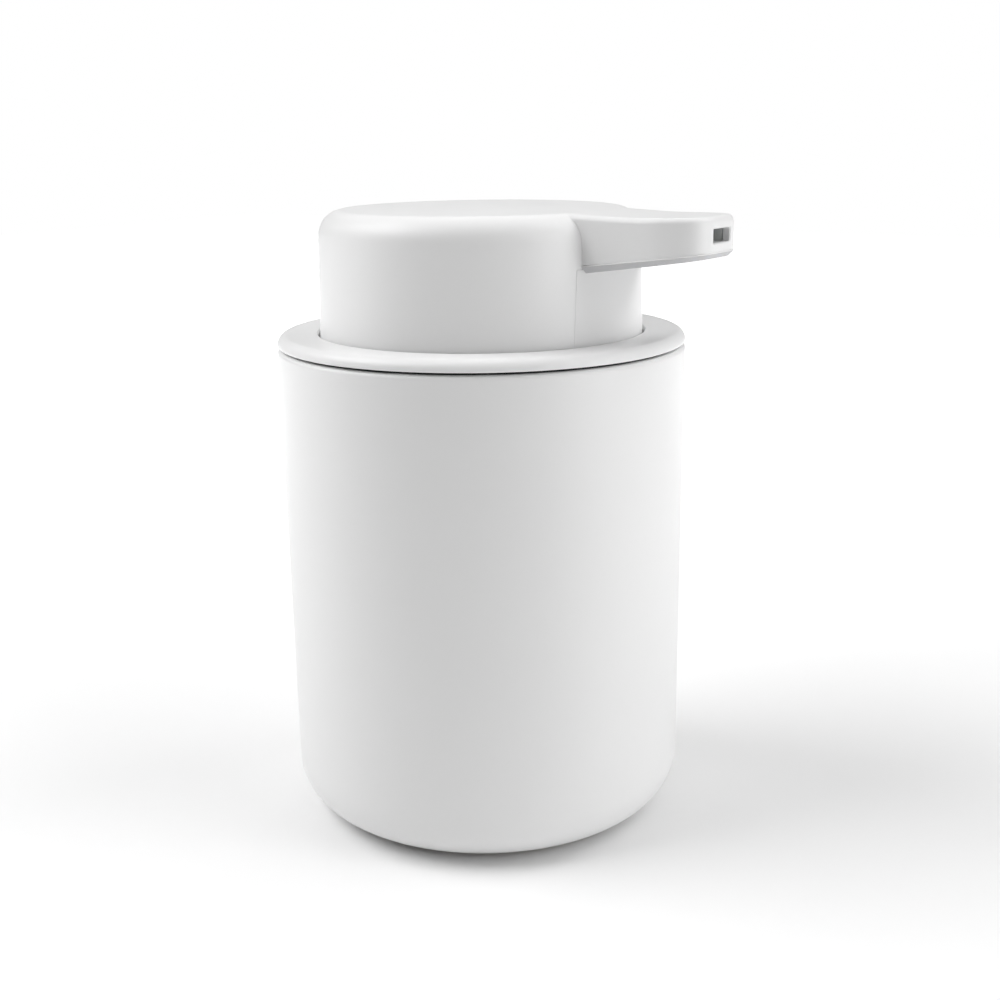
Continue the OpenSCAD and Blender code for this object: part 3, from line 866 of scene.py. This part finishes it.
def make_spring():
    """Round wire on a helix; the first and the last turn lie closed."""
    steps_per_turn = 48
    steps = steps_per_turn * SPRING_TURNS
    sides = 12
    closed = 1 / SPRING_TURNS
    height = SPRING_HI.z - SPRING_LO.z
    r_coil = SPRING_HI.x - SPRING_WIRE / 2
    lift_all = height - SPRING_WIRE
    bm = bmesh.new()
    rings = []
    for i in range(steps + 1):
        t = i / steps
        angle = 2 * math.pi * SPRING_TURNS * t
        if t < closed:
            lift = SPRING_WIRE * t / closed
        elif t > 1 - closed:
            lift = lift_all - SPRING_WIRE * (1 - t) / closed
        else:
            lift = SPRING_WIRE + (t - closed) / (1 - 2 * closed) * (lift_all - 2 * SPRING_WIRE)
        z = SPRING_LO.z + SPRING_WIRE / 2 + lift
        ring = []
        for k in range(sides):
            b = 2 * math.pi * k / sides
            r = r_coil + SPRING_WIRE / 2 * math.cos(b)
            point = (r * math.cos(angle), r * math.sin(angle), z + SPRING_WIRE / 2 * math.sin(b))
            ring.append(bm.verts.new(point))
        rings.append(ring)
    for a, b in zip(rings, rings[1:]):
        for k in range(sides):
            n = (k + 1) % sides
            bm.faces.new((a[k], a[n], b[n], b[k]))
    bm.faces.new(rings[0])
    bm.faces.new(rings[-1])
    bmesh.ops.recalc_face_normals(bm, faces=bm.faces)
    spring = finish_piece(bm, "return_coil", "pump", WIRE, ["return_spring"])
    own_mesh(spring)


make_jar()
make_pad()
make_collar()
make_gasket()
make_press_cap()
make_insert()
make_spring()

INNER_MATERIALS = {
    "nozzle_tube": NATURAL, "actuator_core": NATURAL, "stem": NATURAL, "stem_guide": NATURAL,
    "pump_cylinder": NATURAL, "lock_nut": NATURAL, "piston_rod": NATURAL, "ball_cage": NATURAL,
    "cylinder_gasket": SEAL, "piston_seal": SOFT_SEAL, "inlet_ball": BALL, "outlet_ball": BALL,
    "dip_tube": MILKY,
}
for node_name, material in INNER_MATERIALS.items():
    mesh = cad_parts[node_name].data
    mesh.materials.clear()
    mesh.materials.append(material)


# ---------------------------------------------------------------- studio

FLOOR_HALF = 1500.0
GLOW_START = 60.0
GLOW_FULL = 480.0
GLOW_STRENGTH = 1.05
ROOM_LIGHT = 0.01
AIM_Z = 70.0
VIEW_BEARING = math.radians(-55.0)


def floor_material():
    """Pale matt floor that turns into a softly glowing backdrop behind the object."""
    material = surface("pale_floor", (0.92, 0.92, 0.92), 0.01, 0.8, 0.02, 1.0, 0.01, 30.0, 0.01,
                       specular=0.1)
    nodes = material.node_tree.nodes
    links = material.node_tree.links
    coords = nodes.new("ShaderNodeTexCoord")
    reach = nodes.new("ShaderNodeVectorMath")
    reach.operation = "DOT_PRODUCT"
    reach.inputs[1].default_value = (-math.cos(VIEW_BEARING), -math.sin(VIEW_BEARING), 0)
    links.new(coords.outputs["Object"], reach.inputs[0])
    glow = nodes.new("ShaderNodeMapRange")
    glow.interpolation_type = "SMOOTHSTEP"
    glow.inputs["From Min"].default_value = GLOW_START * MM
    glow.inputs["From Max"].default_value = GLOW_FULL * MM
    glow.inputs["To Max"].default_value = GLOW_STRENGTH
    links.new(reach.outputs["Value"], glow.inputs["Value"])
    shader = nodes["Principled BSDF"]
    shader.inputs["Emission Color"].default_value = (1, 1, 1, 1)
    links.new(glow.outputs["Result"], shader.inputs["Emission Strength"])
    return material


def make_floor():
    bm = bmesh.new()
    bmesh.ops.create_grid(bm, x_segments=8, y_segments=8, size=FLOOR_HALF * MM)
    mesh = bpy.data.meshes.new("studio_floor")
    bm.to_mesh(mesh)
    bm.free()
    floor = bpy.data.objects.new("studio_floor", mesh)
    bpy.context.scene.collection.objects.link(floor)
    mesh.materials.append(floor_material())


def softbox(name, bearing, height, distance, size, power):
    """Area lamp that faces the object; bearing is from the camera's side, anticlockwise."""
    lamp = bpy.data.lights.new(name, "AREA")
    lamp.shape = "RECTANGLE"
    lamp.size = size[0] * MM
    lamp.size_y = size[1] * MM
    lamp.energy = power
    obj = bpy.data.objects.new(name, lamp)
    angle = VIEW_BEARING + math.radians(bearing)
    place = Vector((distance * math.cos(angle), distance * math.sin(angle), height)) * MM
    target = Vector((0, 0, AIM_Z * MM))
    obj.location = place
    obj.rotation_euler = (target - place).to_track_quat("-Z", "Y").to_euler()
    bpy.context.scene.collection.objects.link(obj)


def make_world(lighting):
    """White background for the camera, and a dim one that lights the object."""
    world = bpy.data.worlds.new("white_room")
    bpy.context.scene.world = world
    world.use_nodes = True
    nodes = world.node_tree.nodes
    links = world.node_tree.links
    seen = nodes.new("ShaderNodeLightPath")
    shown = nodes["Background"]
    shown.inputs["Color"].default_value = (1, 1, 1, 1)
    shown.inputs["Strength"].default_value = lighting
    white = nodes.new("ShaderNodeBackground")
    white.inputs["Color"].default_value = (1, 1, 1, 1)
    white.inputs["Strength"].default_value = 1.0
    choose = nodes.new("ShaderNodeMixShader")
    links.new(seen.outputs["Is Camera Ray"], choose.inputs["Fac"])
    links.new(shown.outputs["Background"], choose.inputs[1])
    links.new(white.outputs["Background"], choose.inputs[2])
    links.new(choose.outputs["Shader"], nodes["World Output"].inputs["Surface"])


SOFTBOXES = {
    # name: bearing in degrees, height, distance, (width, height), power in watts
    "left_side": (-90, 200, 700, (400, 600), 0.79),
    "right_side": (60, 200, 700, (400, 600), 2.38),
    "overhead": (180, 900, 100, (900, 900), 2.30),
    "overhead_rear": (180, 700, 700, (900, 500), 1.08),
    "overhead_left": (-90, 700, 600, (700, 500), 5.90),
    "overhead_right": (90, 700, 600, (700, 500), 3.26),
}


def make_camera():
    data = bpy.data.cameras.new("camera")
    data.sensor_width = 36.0
    data.lens = 51.74
    data.clip_start = 0.01
    camera = bpy.data.objects.new("camera", data)
    bpy.context.scene.collection.objects.link(camera)
    distance = 293.81
    height = 142.52
    pitch = math.radians(14.80)
    yaw = math.radians(0.645)
    roll = math.radians(-0.777)
    forward = Vector((math.sin(yaw) * math.cos(pitch), math.cos(yaw) * math.cos(pitch),
                      -math.sin(pitch)))
    right = forward.cross(Vector((0, 0, 1))).normalized()
    up = right.cross(forward)
    x_axis = right * math.cos(roll) + up * math.sin(roll)
    y_axis = up * math.cos(roll) - right * math.sin(roll)
    turn = Matrix.Rotation(VIEW_BEARING + math.pi / 2, 4, "Z")
    pose = Matrix((x_axis, y_axis, -forward)).transposed().to_4x4()
    pose.translation = Vector((0, -distance, height)) * MM
    camera.matrix_world = turn @ pose
    bpy.context.scene.camera = camera


make_floor()
for box_name, (bearing, height, distance, size, power) in SOFTBOXES.items():
    softbox(box_name, bearing, height, distance, size, power)
make_world(ROOM_LIGHT)
make_camera()
bpy.context.scene.view_settings.view_transform = "Standard"
